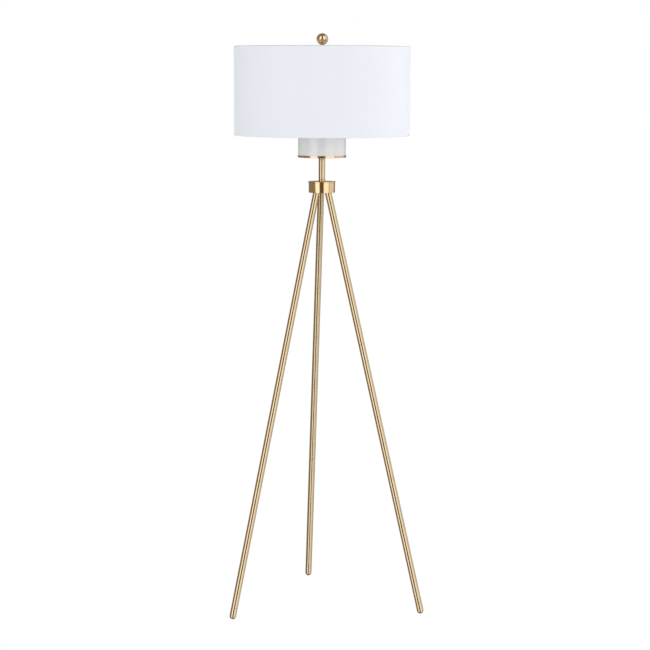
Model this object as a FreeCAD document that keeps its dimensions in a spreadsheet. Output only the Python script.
import FreeCAD, Part
import math
import os
import re
import Sketcher

# Tripod floor lamp: three tubular legs, each of three screwed sections, rise to a turned
# hub. A short neck carries a spun tray, which holds an opal glass cylinder round the bulb.
# A harp inside the glass reaches up to a ball finial, which clamps the drum shade.
#
# Frame: millimetres, +Z up, origin on the floor under the middle of the lamp.
# The rear leg points along +Y, and the other two stand 120 degrees each side of it.

os.makedirs("parts", exist_ok=True)
doc = FreeCAD.newDocument("tripod_floor_lamp")

# ---------------------------------------------------------------- driving dimensions
# alias: (millimetres, what it is)
SIZES = {
    "foot_circle": (298.4, "lamp axis to the middle of each foot"),
    "apex_height": (1227, "height at which the three leg axes meet the lamp axis"),
    "dome_height": (8.6, "centre of each foot's rounded end above the floor"),
    "tube_radius": (9, "outer radius of the leg and neck tubing"),
    "tube_wall": (1.2, "wall of the leg and neck tubing"),
    "edge_break": (0.4, "chamfer on every tube end, seen as a fine seam"),
    "cap_length": (22, "straight part of a foot cap"),
    "pad_radius": (4, "foot pad"),
    "pad_height": (3, "foot pad"),
    "pad_reveal": (0.9, "how far a foot pad stands below its cap"),
    "lower_seam": (373, "foot dome to the first seam, along the leg"),
    "upper_seam": (751, "foot dome to the second seam, along the leg"),
    "tube_entry": (8, "how far a leg tube goes into the hub, along the leg"),
    "plug_length": (20, "threaded plugs and inserts inside the tubes"),
    "stud_radius": (5, "threads that join the leg sections"),
    "stud_length": (14, "threads that join the leg sections"),
    "thread_gap": (0.05, "radial gap of a thread or a pressed plug"),
    "hub_bottom": (1150.4, "underside of the hub"),
    "hub_height": (27.6, "hub body, without its cover"),
    "hub_low_radius": (35.9, "hub body at its underside"),
    "hub_high_radius": (36.4, "hub body at its top"),
    "cover_radius": (37.5, "hub cover"),
    "cover_height": (3, "hub cover"),
    "pipe_radius": (5, "threaded lamp pipe"),
    "pipe_bore": (3.5, "cord passage through the lamp pipe"),
    "pipe_lift": (4, "end of the lamp pipe above the hub's underside"),
    "washer_radius": (8, "lock washer"),
    "washer_height": (1.2, "lock washer"),
    "nut_flats": (13, "lock nut across its flats"),
    "nut_height": (3, "lock nut"),
    "bushing_radius": (6.5, "flange of the cord bushing, let in flush with the hub"),
    "bushing_flange": (1.2, "flange of the cord bushing"),
    "bushing_bore": (3.3, "hole that the cord comes in by"),
    "tray_bottom": (1246.4, "underside of the tray"),
    "tray_radius": (66.3, "tray"),
    "tray_rim": (5.8, "height of the tray's rim"),
    "tray_sheet": (1.2, "thickness of the tray's floor"),
    "rim_sheet": (0.8, "thickness of the tray's rim"),
    "gasket_height": (1, "soft ring under the glass"),
    "gasket_width": (7, "soft ring under the glass"),
    "glass_radius": (65.2, "diffuser"),
    "glass_wall": (3, "diffuser"),
    "glass_height": (153, "diffuser"),
    "saddle_reach": (32, "lamp axis to the middle of each harp foot"),
    "saddle_width": (12, "harp saddle strip"),
    "saddle_sheet": (1.6, "harp saddle strip"),
    "peg_height": (13, "harp saddle's upright pegs"),
    "wire_radius": (2.3, "harp wire"),
    "slide_gap": (0.06, "radial gap inside a harp sleeve"),
    "sleeve_radius": (4, "harp sleeve"),
    "sleeve_height": (16, "harp sleeve"),
    "sleeve_drop": (8, "harp sleeve below the joint that it locks"),
    "harp_straight": (36, "upright foot of the harp, above the saddle's pegs"),
    "harp_flare": (80, "harp foot to the start of the wide part, in height"),
    "harp_reach": (50, "half of the harp's greatest width, to the wire's centre"),
    "harp_shoulder": (1440, "height at which the harp turns inwards"),
    "harp_crown": (22, "half of the harp's level top"),
    "harp_bend": (40, "radius of the harp's lower bends"),
    "shoulder_bend": (110, "radius of the harp's shoulders"),
    "crown_bend": (14, "radius of the harp's upper corners"),
    "seat_height": (1541, "face that the shade's spider rests on"),
    "seat_radius": (7, "face that the shade's spider rests on"),
    "seat_collar": (4.5, "thickness of the flange under the spider"),
    "harp_stud": (3.1, "radius of the thread that takes the finial"),
    "harp_stud_top": (1562, "end of the thread that takes the finial"),
    "cap_foot": (12, "socket cap, at its narrow end"),
    "cap_radius": (18.5, "socket cap, at its wide end"),
    "cap_height": (18, "socket cap"),
    "metal_sheet": (0.6, "socket cap and shell"),
    "shell_radius": (17.8, "socket shell"),
    "shell_height": (38, "socket shell above the socket cap's shoulder"),
    "shoulder_height": (13, "socket cap's shoulder above its foot"),
    "liner_sheet": (0.7, "paper sleeve inside the socket shell"),
    "core_radius": (14.6, "moulded core that holds the contacts"),
    "core_height": (13, "moulded core"),
    "screw_radius": (13.3, "inside of the socket's screw shell"),
    "screw_height": (25, "socket's screw shell"),
    "contact_radius": (4, "centre contact of the socket"),
    "contact_height": (2.5, "centre contact of the socket"),
    "bulb_base_radius": (13, "bulb's screw base"),
    "bulb_base_height": (24, "bulb's screw base"),
    "bulb_tip_radius": (4.5, "bulb's end contact"),
    "bulb_tip_height": (1, "bulb's end contact"),
    "bulb_neck_height": (2.5, "insulator between the bulb's two contacts"),
    "housing_height": (38, "bulb's cone"),
    "globe_radius": (30, "bulb's dome"),
    "globe_centre": (52, "bulb's dome above the top of its screw base"),
    "globe_wall": (1.2, "bulb's dome"),
    "shade_radius": (240.2, "drum shade, over its edge binding"),
    "shade_bottom": (1306, "lower edge of the shade"),
    "shade_top": (1547, "upper edge of the shade"),
    "cloth": (0.8, "shade fabric"),
    "styrene": (0.8, "shade lining"),
    "binding": (0.4, "edge binding cloth"),
    "binding_depth": (9, "edge binding on the outside of the shade"),
    "ring_wire": (1.5, "radius of the shade's ring wires"),
    "roll_width": (5.5, "width of the rolled edge, seen from above"),
    "spider_wire": (1.5, "radius of the spider's arms"),
    "spider_radius": (13, "spider's centre washer"),
    "spider_sheet": (2, "spider's centre washer"),
    "spider_hole": (3.6, "hole that drops over the harp's stud"),
    "ball_radius": (15.875, "finial ball"),
    "ball_centre": (1566.2, "height of the finial ball's centre"),
    "collar_base": (7.5, "finial collar at the spider"),
    "collar_waist": (4.6, "finial collar at the ball"),
    "collar_height": (7.95, "finial collar"),
}

LEGS = {"rear": 90, "left": 210, "right": 330}   # azimuth of each leg, in degrees
SPIDER_ARMS = (90, 210, 330)                      # azimuth of each spider arm

sheet = doc.addObject("Spreadsheet::Sheet", "size")
for row, (alias, (number, note)) in enumerate(SIZES.items(), start=1):
    sheet.set("A%d" % row, note)
    sheet.set("B%d" % row, str(number))
    sheet.setAlias("B%d" % row, alias)
doc.recompute()


def bound(text):
    """Point each dimension's name in an expression at its spreadsheet cell."""
    return re.sub(r"[a-z_]+", lambda word: "size." + word[0] if word[0] in SIZES else word[0], text)


def value(text):
    """The present value of an expression, in millimetres or degrees."""
    found = sheet.evalExpression(bound(text))
    return float(getattr(found, "Value", found))


def bind(thing, **cells):
    """Set properties of an object from expressions, such as Radius="tube_radius"."""
    for name, text in cells.items():
        thing.setExpression(name.replace("__", "."), bound(text))
    return thing


# ---------------------------------------------------------------- derived heights
# Each is an expression in the cells above.
SPLAY = "atan(foot_circle / (apex_height - dome_height))"
LEG_TOP = "(hub_bottom - dome_height) / cos(%s)" % SPLAY
TUBE_BORE = "tube_radius - tube_wall"
HUB_TOP = "hub_bottom + hub_height"
NECK_FOOT = HUB_TOP + " + cover_height"
TRAY_FLOOR = "tray_bottom + tray_sheet"
SADDLE_FOOT = TRAY_FLOOR + " + washer_height + nut_height"
SOCKET_FOOT = SADDLE_FOOT + " + saddle_sheet"
PEG_TOP = SOCKET_FOOT + " + peg_height"
SHELL_FOOT = SOCKET_FOOT + " + shoulder_height"
CORE_FOOT = SHELL_FOOT + " + 2"
CORE_TOP = CORE_FOOT + " + core_height"
BULB_FOOT = CORE_TOP + " + contact_height"
BULB_SHELL_FOOT = BULB_FOOT + " + bulb_tip_height + bulb_neck_height"
BULB_SHELL_TOP = BULB_SHELL_FOOT + " + bulb_base_height"
GLASS_FOOT = TRAY_FLOOR + " + gasket_height"
CLOTH_OUT = "shade_radius - binding"
LINING_OUT = "shade_radius - binding - cloth"
LINING_IN = "shade_radius - binding - cloth - styrene"
RING_REACH = LINING_IN + " - ring_wire - thread_gap"


# ---------------------------------------------------------------- building blocks
def new_body(label):
    return doc.addObject("PartDesign::Body", label)


def new_sketch(body, name, role):
    """A sketch on one of the body's own origin planes."""
    sketch = body.newObject("Sketcher::SketchObject", name)
    plane = next(item for item in body.Origin.OriginFeatures if item.Role == role)
    sketch.AttachmentSupport = (plane, [""])
    sketch.MapMode = "FlatFace"
    return sketch


def pin_point(sketch, geometry, end, across, up):
    """Hold one point of a sketch at two bound distances from the sketch's origin."""
    for kind, text in (("DistanceX", across), ("DistanceY", up)):
        index = sketch.addConstraint(Sketcher.Constraint(kind, -1, 1, geometry, end, value(text)))
        sketch.setExpression("Constraints[%d]" % index, bound(text))


def outline(sketch, corners):
    """A closed outline of straight lines through corners given as expression pairs."""
    points = [FreeCAD.Vector(value(across), value(up), 0) for across, up in corners]
    count = len(points)
    for index, point in enumerate(points):
        sketch.addGeometry(Part.LineSegment(point, points[(index + 1) % count]), False)
    for index in range(count):
        following = (index + 1) % count
        sketch.addConstraint(Sketcher.Constraint("Coincident", index, 2, following, 1))
    for index, (across, up) in enumerate(corners):
        pin_point(sketch, index, 1, across, up)


def turned(label, corners, chamfers=(), rounds=()):
    """A piece turned about its own Z axis from an outline of (radius, height) corners.

    chamfers and rounds list (corner number, size) for the outer edges to break."""
    body = new_body(label)
    sketch = new_sketch(body, label + "_profile", "XZ_Plane")
    outline(sketch, corners)
    feature = body.newObject("PartDesign::Revolution", label + "_turned")
    feature.Profile = sketch
    feature.ReferenceAxis = (sketch, ["V_Axis"])
    feature.Angle = 360
    for kind, size_name, edges in (("Chamfer", "Size", chamfers), ("Fillet", "Radius", rounds)):
        if edges:
            doc.recompute()
            feature = break_edges(body, feature, kind, size_name, corners, edges)
    doc.recompute()
    return body


def break_edges(body, feature, kind, size_name, corners, edges):
    """Chamfer or round the circular edges that stand at the listed corners."""
    names = []
    for corner, _ in edges:
        radius, height = value(corners[corner][0]), value(corners[corner][1])
        for number, edge in enumerate(feature.Shape.Edges, start=1):
            curve = edge.Curve
            if isinstance(curve, Part.Circle) and abs(curve.Radius - radius) < 0.001:
                if abs(curve.Center.z - height) < 0.001 and "Edge%d" % number not in names:
                    names.append("Edge%d" % number)
    dressed = body.newObject("PartDesign::" + kind, body.Name + "_" + kind.lower())
    dressed.Base = (feature, names)
    dressed.setExpression(size_name, bound(edges[0][1]))
    return dressed


def tube(label, outer, inner, foot, top, **dressing):
    """A plain round tube or ring about Z."""
    return turned(label, [(inner, foot), (outer, foot), (outer, top), (inner, top)], **dressing)


def cylinder(name, radius, foot, height):
    piece = doc.addObject("Part::Cylinder", name)
    return bind(piece, Radius=radius, Height=height, Placement__Base__z=foot)


def sphere(name, radius, centre):
    return bind(doc.addObject("Part::Sphere", name), Radius=radius, Placement__Base__z=centre)


def torus(name, reach, wire, height):
    piece = doc.addObject("Part::Torus", name)
    return bind(piece, Radius1=reach, Radius2=wire, Placement__Base__z=height)


def fused(name, pieces):
    piece = doc.addObject("Part::MultiFuse", name)
    piece.Shapes = pieces
    return piece


def cut(name, base, tools):
    """The base with every tool taken away from it."""
    piece = doc.addObject("Part::Cut", name)
    piece.Base = base
    piece.Tool = tools[0] if len(tools) == 1 else fused(name + "_tools", tools)
    return piece


def group(label, pieces):
    """Several separate solids that share one node."""
    piece = doc.addObject("Part::Compound", label)
    piece.Links = pieces
    return piece


def on_leg(piece, azimuth, distance):
    """Stand a piece, made along its own Z, on a leg's axis, that far up from the foot's dome."""
    outward = "(foot_circle - (%s) * sin(%s))" % (distance, SPLAY)
    rotation_axis = FreeCAD.Rotation(FreeCAD.Vector(0, 0, 1), azimuth).multVec(FreeCAD.Vector(0, 1, 0))
    piece.Placement = FreeCAD.Placement(
        FreeCAD.Vector(0, 0, 0), FreeCAD.Rotation(rotation_axis, -value(SPLAY)))
    return bind(
        piece,
        Placement__Base__x="%s * cos(%d deg)" % (outward, azimuth),
        Placement__Base__y="%s * sin(%d deg)" % (outward, azimuth),
        Placement__Base__z="dome_height + (%s) * cos(%s)" % (distance, SPLAY),
        Placement__Rotation__Angle="-%s" % SPLAY)


# ---------------------------------------------------------------- legs
def leg_section(label, azimuth, start, end):
    """One length of leg tubing, with both outer ends broken so that the seam shows."""
    piece = tube(label, "tube_radius", TUBE_BORE, "0", "(%s) - (%s)" % (end, start),
                 chamfers=[(1, "edge_break"), (2, "edge_break")])
    return on_leg(piece, azimuth, start)


def threaded_plug(name, azimuth, seam):
    """A plug in the tube below a seam, with its thread standing up across the seam."""
    plug = turned(name, [
        ("0", "-plug_length"),
        (TUBE_BORE + " - thread_gap", "-plug_length"),
        (TUBE_BORE + " - thread_gap", "0"),
        ("stud_radius", "0"),
        ("stud_radius", "stud_length"),
        ("0", "stud_length"),
    ])
    return on_leg(plug, azimuth, seam)


def threaded_insert(name, azimuth, seam):
    """The matching nut, fixed in the tube above a seam."""
    ring = tube(name, TUBE_BORE + " - thread_gap", "stud_radius + thread_gap", "0", "plug_length")
    return on_leg(ring, azimuth, seam)


def foot_cap(side, azimuth):
    """A domed cap on the leg's end, cut level underneath and recessed for its pad."""
    dome = on_leg(sphere(side + "_dome", "tube_radius", "0"), azimuth, "0")
    barrel = on_leg(cylinder(side + "_barrel", "tube_radius", "0", "cap_length"), azimuth, "0")
    spigot = cylinder(side + "_spigot", TUBE_BORE + " - thread_gap", "0", "plug_length")
    on_leg(spigot, azimuth, "cap_length")
    recess = at_foot(cylinder(side + "_recess", "pad_radius + thread_gap", "0", "pad_height"), azimuth)
    level = at_foot(cylinder(side + "_level", "4 * tube_radius", "0", "pad_reveal"), azimuth)
    bind(level, Placement__Base__z="-4 * tube_radius", Height="4 * tube_radius + pad_reveal")
    body = fused(side + "_cap_blank", [dome, barrel, spigot])
    return cut("foot_cap_" + side, body, [recess, level])


def at_foot(piece, azimuth):
    """Stand an upright piece on the foot circle."""
    return bind(piece, Placement__Base__x="foot_circle * cos(%d deg)" % azimuth,
                Placement__Base__y="foot_circle * sin(%d deg)" % azimuth)


def make_legs():
    pieces, plugs, inserts, hub_studs = [], [], [], []
    tube_end = "%s + tube_entry" % LEG_TOP
    for side, azimuth in LEGS.items():
        pieces.append(leg_section("leg_lower_" + side, azimuth, "cap_length", "lower_seam"))
        pieces.append(leg_section("leg_middle_" + side, azimuth, "lower_seam", "upper_seam"))
        pieces.append(leg_section("leg_upper_" + side, azimuth, "upper_seam", tube_end))
        pieces.append(foot_cap(side, azimuth))
        pad = tube("foot_pad_" + side, "pad_radius", "0.6", "0", "pad_height")
        pieces.append(at_foot(pad, azimuth))
        for seam in ("lower_seam", "upper_seam"):
            plugs.append(threaded_plug("plug_%s_%s" % (seam, side), azimuth, seam))
            inserts.append(threaded_insert("insert_%s_%s" % (seam, side), azimuth, seam))
        hub_studs.append(threaded_plug("hub_stud_" + side, azimuth, tube_end))
    pieces.append(group("leg_couplings", plugs))
    pieces.append(group("leg_inserts", inserts))
    pieces.append(group("hub_studs", hub_studs))
    return pieces


# ---------------------------------------------------------------- hub, neck and tray
def make_hub():
    """The turned block, bored for the lamp pipe and, at the legs' slant, for the legs."""
    blank = turned("hub_blank", [
        ("pipe_radius + thread_gap", "hub_bottom"),
        ("hub_low_radius", "hub_bottom"),
        ("hub_high_radius", HUB_TOP),
        ("pipe_radius + thread_gap", HUB_TOP),
    ], chamfers=[(1, "2 * edge_break")])
    tools = []
    for side, azimuth in LEGS.items():
        pocket = cylinder("pocket_" + side, "tube_radius + thread_gap", "0", "3 * tube_entry")
        tools.append(on_leg(pocket, azimuth, "%s - 2 * tube_entry" % LEG_TOP))
        thread = cylinder("thread_" + side, "stud_radius + thread_gap", "0", "stud_length + 1")
        tools.append(on_leg(thread, azimuth, "%s + tube_entry" % LEG_TOP))
    tools.append(cylinder("bushing_seat", "bushing_radius + thread_gap", "hub_bottom", "bushing_flange"))
    hub = cut("hub_body", blank, tools)
    cover = tube("hub_cover", "cover_radius", "pipe_radius + thread_gap", HUB_TOP, NECK_FOOT,
                 rounds=[(1, "edge_break"), (2, "edge_break")])
    return [hub, cover]


def hex_nut(name, foot):
    """A hexagon nut about Z, bored to the lamp pipe."""
    prism = doc.addObject("Part::Prism", name + "_prism")
    bind(prism, Circumradius="nut_flats / sqrt(3)", Height="nut_height", Placement__Base__z=foot)
    bore = cylinder(name + "_bore", "pipe_radius + thread_gap", foot, "nut_height")
    return cut(name, prism, [bore])


def make_neck():
    pipe_foot = "hub_bottom + pipe_lift"
    pipe_top = SOCKET_FOOT + " + 10"
    grip = "pipe_radius + thread_gap"
    neck = tube("neck_tube", "tube_radius", TUBE_BORE, NECK_FOOT, "tray_bottom",
                chamfers=[(1, "edge_break"), (2, "edge_break")])
    pipe = tube("lamp_pipe", "pipe_radius", "pipe_bore", pipe_foot, pipe_top)
    nut = hex_nut("lock_nut", TRAY_FLOOR + " + washer_height")
    washer = tube("lock_washer", "washer_radius", grip, TRAY_FLOOR, TRAY_FLOOR + " + washer_height")
    bushing = turned("cord_bushing", [
        ("bushing_bore", "hub_bottom"),
        ("bushing_radius", "hub_bottom"),
        ("bushing_radius", "hub_bottom + bushing_flange"),
        ("pipe_radius", "hub_bottom + bushing_flange"),
        ("pipe_radius", pipe_foot),
        ("bushing_bore", pipe_foot),
    ], rounds=[(0, "edge_break")])
    return [neck, pipe, nut, washer, bushing]


def make_tray():
    rim_in = "tray_radius - rim_sheet"
    rim_top = "tray_bottom + tray_rim"
    tray = turned("tray", [
        ("pipe_radius + thread_gap", "tray_bottom"),
        ("tray_radius", "tray_bottom"),
        ("tray_radius", rim_top),
        (rim_in, rim_top),
        (rim_in, TRAY_FLOOR),
        ("pipe_radius + thread_gap", TRAY_FLOOR),
    ], rounds=[(1, "3 * edge_break")])
    gasket = tube("tray_gasket", rim_in + " - 0.2", rim_in + " - gasket_width", TRAY_FLOOR, GLASS_FOOT)
    glass = tube("glass_diffuser", "glass_radius", "glass_radius - glass_wall", GLASS_FOOT,
                 GLASS_FOOT + " + glass_height", rounds=[(2, "glass_wall * 0.4"), (3, "glass_wall * 0.4")])
    return [tray, gasket, glass]


# ---------------------------------------------------------------- harp
def rounded_route(sketch, corners, radii):
    """An open path of straight runs through the corners, joined by tangent arcs."""
    points = [FreeCAD.Vector(value(across), value(up), 0) for across, up in corners]
    tangents = []
    for index in range(1, len(points) - 1):
        back = (points[index - 1] - points[index]).normalize()
        ahead = (points[index + 1] - points[index]).normalize()
        half_angle = back.getAngle(ahead) / 2
        radius = value(radii[index - 1])
        along = radius / math.tan(half_angle)
        middle = (back + ahead).normalize()
        centre = points[index] + middle * (radius / math.sin(half_angle))
        tangents.append((points[index] + back * along, centre - middle * radius,
                         points[index] + ahead * along))
    starts = [points[0]] + [item[2] for item in tangents]
    ends = [item[0] for item in tangents] + [points[-1]]
    lines, arcs = [], []
    for index, start in enumerate(starts):
        lines.append(sketch.addGeometry(Part.LineSegment(start, ends[index]), False))
        if index < len(tangents):
            arcs.append(sketch.addGeometry(Part.Arc(*tangents[index]), False))
    for index, arc in enumerate(arcs):
        join_arc(sketch, lines[index], arc, lines[index + 1])
        number = sketch.addConstraint(Sketcher.Constraint("Radius", arc, value(radii[index])))
        sketch.setExpression("Constraints[%d]" % number, bound(radii[index]))
        corner = sketch.addGeometry(Part.Point(points[index + 1]), True)
        for line in (lines[index], lines[index + 1]):
            sketch.addConstraint(Sketcher.Constraint("PointOnObject", corner, 1, line))
        pin_point(sketch, corner, 1, *corners[index + 1])
    pin_point(sketch, lines[0], 1, *corners[0])
    pin_point(sketch, lines[-1], 2, *corners[-1])


def join_arc(sketch, line_before, arc, line_after):
    """Make an arc tangent to the lines on both sides, whichever way round it was drawn."""
    first = sketch.getPoint(line_before, 2)
    near, far = (1, 2) if sketch.getPoint(arc, 1).distanceToPoint(first) < 0.001 else (2, 1)
    sketch.addConstraint(Sketcher.Constraint("Tangent", line_before, 2, arc, near))
    sketch.addConstraint(Sketcher.Constraint("Tangent", arc, far, line_after, 1))


def make_harp():
    """Saddle, wire loop, the two sleeves that lock them together, and the finial's stud."""
    strip = doc.addObject("Part::Box", "saddle_strip")
    bind(strip, Length="2 * saddle_reach + 2 * sleeve_radius", Width="saddle_width",
         Height="saddle_sheet", Placement__Base__x="-saddle_reach - sleeve_radius",
         Placement__Base__y="-saddle_width / 2", Placement__Base__z=SADDLE_FOOT)
    pegs = []
    for side, way in (("left", "-"), ("right", "")):
        peg = cylinder("peg_" + side, "wire_radius", SOCKET_FOOT, "peg_height")
        pegs.append(bind(peg, Placement__Base__x=way + "saddle_reach"))
    hole = cylinder("saddle_hole", "pipe_radius + thread_gap", SADDLE_FOOT, "saddle_sheet")
    saddle = cut("harp_saddle", fused("saddle_blank", [strip] + pegs), [hole])

    loop = new_body("harp_loop")
    route = new_sketch(loop, "harp_route", "XZ_Plane")
    crown = "seat_height - seat_collar - wire_radius"
    half = [("saddle_reach", PEG_TOP), ("saddle_reach", PEG_TOP + " + harp_straight"),
            ("harp_reach", PEG_TOP + " + harp_flare"), ("harp_reach", "harp_shoulder"),
            ("harp_crown", crown)]
    bends = ["harp_bend", "harp_bend", "shoulder_bend", "crown_bend"]
    mirrored = [("-" + across, up) for across, up in half]
    rounded_route(route, mirrored + half[::-1], bends + bends[::-1])
    section = new_sketch(loop, "harp_section", "XY_Plane")
    section.setExpression("AttachmentOffset.Base.z", bound(PEG_TOP))
    circle = section.addGeometry(Part.Circle(
        FreeCAD.Vector(-value("saddle_reach"), 0, 0), FreeCAD.Vector(0, 0, 1), value("wire_radius")), False)
    radius = section.addConstraint(Sketcher.Constraint("Radius", circle, value("wire_radius")))
    section.setExpression("Constraints[%d]" % radius, bound("wire_radius"))
    centre = section.addConstraint(
        Sketcher.Constraint("DistanceX", -1, 1, circle, 3, -value("saddle_reach")))
    section.setExpression("Constraints[%d]" % centre, bound("-saddle_reach"))
    section.addConstraint(Sketcher.Constraint("PointOnObject", circle, 3, -1))
    wire = loop.newObject("PartDesign::AdditivePipe", "harp_wire")
    wire.Profile = section
    wire.Spine = (route, [])
    doc.recompute()

    sleeves = []
    for side, way in (("left", "-"), ("right", "")):
        sleeve = tube("harp_sleeve_" + side, "sleeve_radius", "wire_radius + slide_gap",
                      PEG_TOP + " - sleeve_drop", PEG_TOP + " - sleeve_drop + sleeve_height",
                      rounds=[(1, "edge_break"), (2, "edge_break")])
        sleeves.append(bind(sleeve, Placement__Base__x=way + "saddle_reach"))

    block = turned("stud_blank", [
        ("0", crown + " - 2 * wire_radius"),
        ("seat_radius - 1.5", crown + " - 2 * wire_radius"),
        ("seat_radius - 1.5", "seat_height - seat_collar"),
        ("seat_radius", "seat_height - seat_collar"),
        ("seat_radius", "seat_height"),
        ("harp_stud", "seat_height"),
        ("harp_stud", "harp_stud_top"),
        ("0", "harp_stud_top"),
    ])
    passage = cylinder("stud_passage", "wire_radius + 0.01", crown, "2 * seat_radius")
    passage.Placement = FreeCAD.Placement(
        FreeCAD.Vector(0, 0, 0), FreeCAD.Rotation(FreeCAD.Vector(0, 1, 0), 90))
    bind(passage, Placement__Base__x="-seat_radius", Placement__Base__z=crown)
    stud = cut("harp_stud", block, [passage])
    return [saddle, loop, stud] + sleeves


# ---------------------------------------------------------------- socket and bulb
def make_socket():
    shoulder = SOCKET_FOOT + " + shoulder_height"
    cap_top = SOCKET_FOOT + " + cap_height"
    cap = turned("socket_cap", [
        ("pipe_radius + thread_gap", SOCKET_FOOT),
        ("cap_foot", SOCKET_FOOT),
        ("cap_radius", shoulder),
        ("cap_radius", cap_top),
        ("cap_radius - metal_sheet", cap_top),
        ("cap_radius - metal_sheet", shoulder),
        ("cap_foot - metal_sheet", SOCKET_FOOT + " + 2 * metal_sheet"),
        ("pipe_radius + thread_gap", SOCKET_FOOT + " + 2 * metal_sheet"),
    ])
    shell_in = "shell_radius - metal_sheet"
    shell = tube("socket_shell", "shell_radius", shell_in, SHELL_FOOT, SHELL_FOOT + " + shell_height")
    liner = tube("socket_liner", shell_in + " - thread_gap", shell_in + " - liner_sheet",
                 CORE_FOOT, SHELL_FOOT + " + shell_height - 1")
    core = tube("socket_core", "core_radius", "1.6", CORE_FOOT, CORE_TOP, rounds=[(1, "1"), (2, "1")])
    rivet = turned("socket_contact", [
        ("0", CORE_FOOT + " + 4"),
        ("1.55", CORE_FOOT + " + 4"),
        ("1.55", CORE_TOP),
        ("contact_radius", CORE_TOP),
        ("contact_radius - 1", BULB_FOOT),
        ("0", BULB_FOOT),
    ])
    screw = tube("screw_shell", "screw_radius + metal_sheet", "screw_radius", CORE_TOP,
                 CORE_TOP + " + screw_height")
    heads = []
    for side, way in (("left", "-"), ("right", "")):
        head = turned("terminal_" + side, [("0", "0"), ("2", "0"), ("2", "1.2"), ("0", "1.2")])
        head.Placement = FreeCAD.Placement(FreeCAD.Vector(0, 0, 0),
                                           FreeCAD.Rotation(FreeCAD.Vector(1, 0, 0), 90))
        bind(head, Placement__Base__y=way + "(core_radius + 0.4)" + (" + 1.2" if way == "" else ""),
             Placement__Base__z=CORE_FOOT + " + core_height / 2")
        heads.append(head)
    return [cap, shell, liner, core, rivet, screw, group("terminal_screws", heads)]


def make_bulb():
    housing_top = BULB_SHELL_TOP + " + housing_height"
    centre = BULB_SHELL_TOP + " + globe_centre"
    tip = tube("bulb_contact", "bulb_tip_radius", "0.5", BULB_FOOT, BULB_FOOT + " + bulb_tip_height",
               rounds=[(1, "edge_break")])
    neck = turned("bulb_insulator", [
        ("0", BULB_FOOT + " + bulb_tip_height"),
        ("bulb_tip_radius", BULB_FOOT + " + bulb_tip_height"),
        ("bulb_base_radius - 2", BULB_SHELL_FOOT),
        ("0", BULB_SHELL_FOOT),
    ])
    base = turned("bulb_screw_base", [
        ("0", BULB_SHELL_FOOT),
        ("bulb_base_radius - 2", BULB_SHELL_FOOT),
        ("bulb_base_radius", BULB_SHELL_FOOT + " + 3"),
        ("bulb_base_radius", BULB_SHELL_TOP),
        ("0", BULB_SHELL_TOP),
    ])
    rim = "sqrt(globe_radius ^ 2 - (globe_centre - housing_height) ^ 2)"
    housing = turned("bulb_housing", [
        ("0", BULB_SHELL_TOP),
        ("bulb_base_radius + 1", BULB_SHELL_TOP),
        ("bulb_base_radius + 2.5", BULB_SHELL_TOP + " + housing_height / 4"),
        (rim + " - 3", BULB_SHELL_TOP + " + housing_height * 0.8"),
        (rim, housing_top),
        ("0", housing_top),
    ])
    outside = sphere("globe_outside", "globe_radius", centre)
    inside = sphere("globe_inside", "globe_radius - globe_wall", centre)
    below = cylinder("globe_below", "2 * globe_radius", centre + " - 2 * globe_radius",
                     "2 * globe_radius - globe_centre + housing_height")
    globe = cut("bulb_globe", outside, [inside, below])
    return [tip, neck, base, housing, globe]


# ---------------------------------------------------------------- shade
def rolled_edge(label, edge, way):
    """Binding folded over an edge of the shade and its ring wire. way is + or - inwards."""
    inner = "shade_radius - roll_width"
    return turned(label, [
        (CLOTH_OUT, edge + way + "binding_depth"),
        ("shade_radius", edge + way + "binding_depth"),
        ("shade_radius", edge),
        (inner, edge),
        (inner, edge + way + "(binding + 2 * ring_wire - 0.1)"),
        (inner + " + binding", edge + way + "(binding + 2 * ring_wire - 0.1)"),
        (inner + " + binding", edge + way + "binding"),
        (CLOTH_OUT, edge + way + "binding"),
    ])


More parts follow.
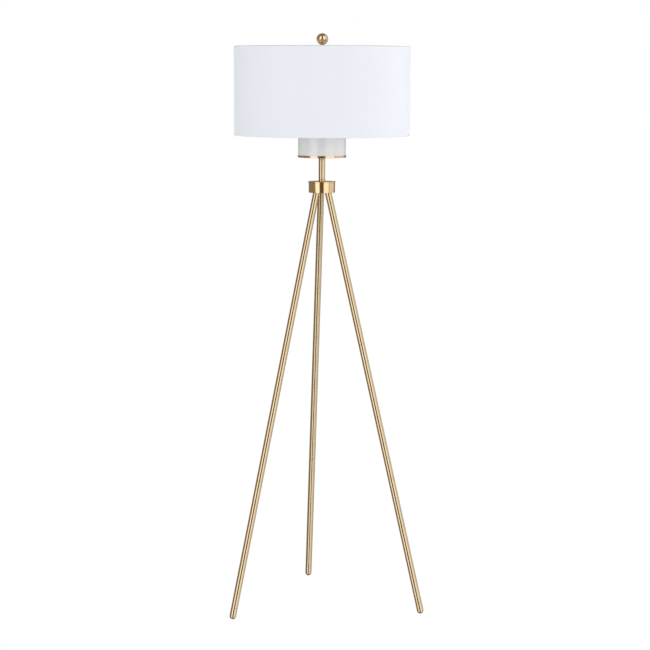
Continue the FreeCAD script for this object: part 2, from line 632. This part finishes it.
def make_shade():
    low, high = "shade_bottom + binding", "shade_top - binding"
    cloth = tube("shade_fabric", CLOTH_OUT, LINING_OUT, low, high)
    lining = tube("shade_lining", LINING_OUT, LINING_IN, low, high)
    rise = "(binding + ring_wire + thread_gap)"
    top_ring = torus("shade_top_ring", RING_REACH, "ring_wire", "shade_top - " + rise)
    low_ring = torus("shade_bottom_ring", RING_REACH, "ring_wire", "shade_bottom + " + rise)
    top_edge = rolled_edge("shade_top_binding", "shade_top", " - ")
    low_edge = rolled_edge("shade_bottom_binding", "shade_bottom", " + ")
    washer = tube("spider_washer", "spider_radius", "spider_hole", "seat_height",
                  "seat_height + spider_sheet", rounds=[(1, "edge_break"), (2, "edge_break")])
    arms = []
    for azimuth in SPIDER_ARMS:
        arm = cylinder("arm_%d" % azimuth, "spider_wire", "0", RING_REACH + " - spider_radius + 1")
        arm.Placement = FreeCAD.Placement(
            FreeCAD.Vector(0, 0, 0),
            FreeCAD.Rotation(FreeCAD.Vector(0, 0, 1), azimuth)
            * FreeCAD.Rotation(FreeCAD.Vector(0, 1, 0), 90))
        arms.append(bind(
            arm,
            Placement__Base__x="(spider_radius - 0.5) * cos(%d deg)" % azimuth,
            Placement__Base__y="(spider_radius - 0.5) * sin(%d deg)" % azimuth,
            Placement__Base__z="shade_top - binding - 2 * ring_wire - 2 * thread_gap - spider_wire"))
    return [cloth, lining, top_ring, low_ring, top_edge, low_edge, washer,
            group("spider_arms", arms)]


# ---------------------------------------------------------------- finial
def make_finial():
    """A turned collar over the spider and a ball that screws down on the harp's stud."""
    foot = "seat_height + spider_sheet"
    flat = foot + " + collar_height + thread_gap"
    collar = turned("finial_collar", [
        ("harp_stud + thread_gap", foot),
        ("collar_base", foot),
        ("collar_base", foot + " + 1.6"),
        ("collar_waist", foot + " + 3.4"),
        ("collar_waist", foot + " + collar_height"),
        ("harp_stud + thread_gap", foot + " + collar_height"),
    ], rounds=[(1, "edge_break"), (2, "edge_break")])
    ball = sphere("ball_blank", "ball_radius", "ball_centre")
    below = cylinder("ball_below", "2 * ball_radius", flat + " - 2 * ball_radius", "2 * ball_radius")
    thread = cylinder("ball_thread", "harp_stud + thread_gap", flat, "harp_stud_top - seat_height - 8")
    return [collar, cut("finial_ball", ball, [below, thread])]


# ---------------------------------------------------------------- build, check and write
def main():
    pieces = make_legs() + make_hub() + make_neck() + make_tray() + make_harp()
    pieces += make_socket() + make_bulb() + make_shade() + make_finial()
    doc.recompute()
    for item in doc.Objects:
        if "Invalid" in item.State or "Error" in item.State:
            raise RuntimeError("%s did not build: %s" % (item.Label, item.State))
    for piece in pieces:
        if piece.Shape.isNull() or not piece.Shape.isValid():
            raise RuntimeError("%s has no valid shape" % piece.Label)
    for piece in pieces:
        piece.Shape.exportStep("parts/%s.step" % piece.Label)
        box = piece.Shape.BoundBox
        print("%-22s %d solid(s) %10.1f mm3  z %.1f to %.1f" % (
            piece.Label, len(piece.Shape.Solids), piece.Shape.Volume, box.ZMin, box.ZMax))
    print("%d nodes" % len(pieces))


main()
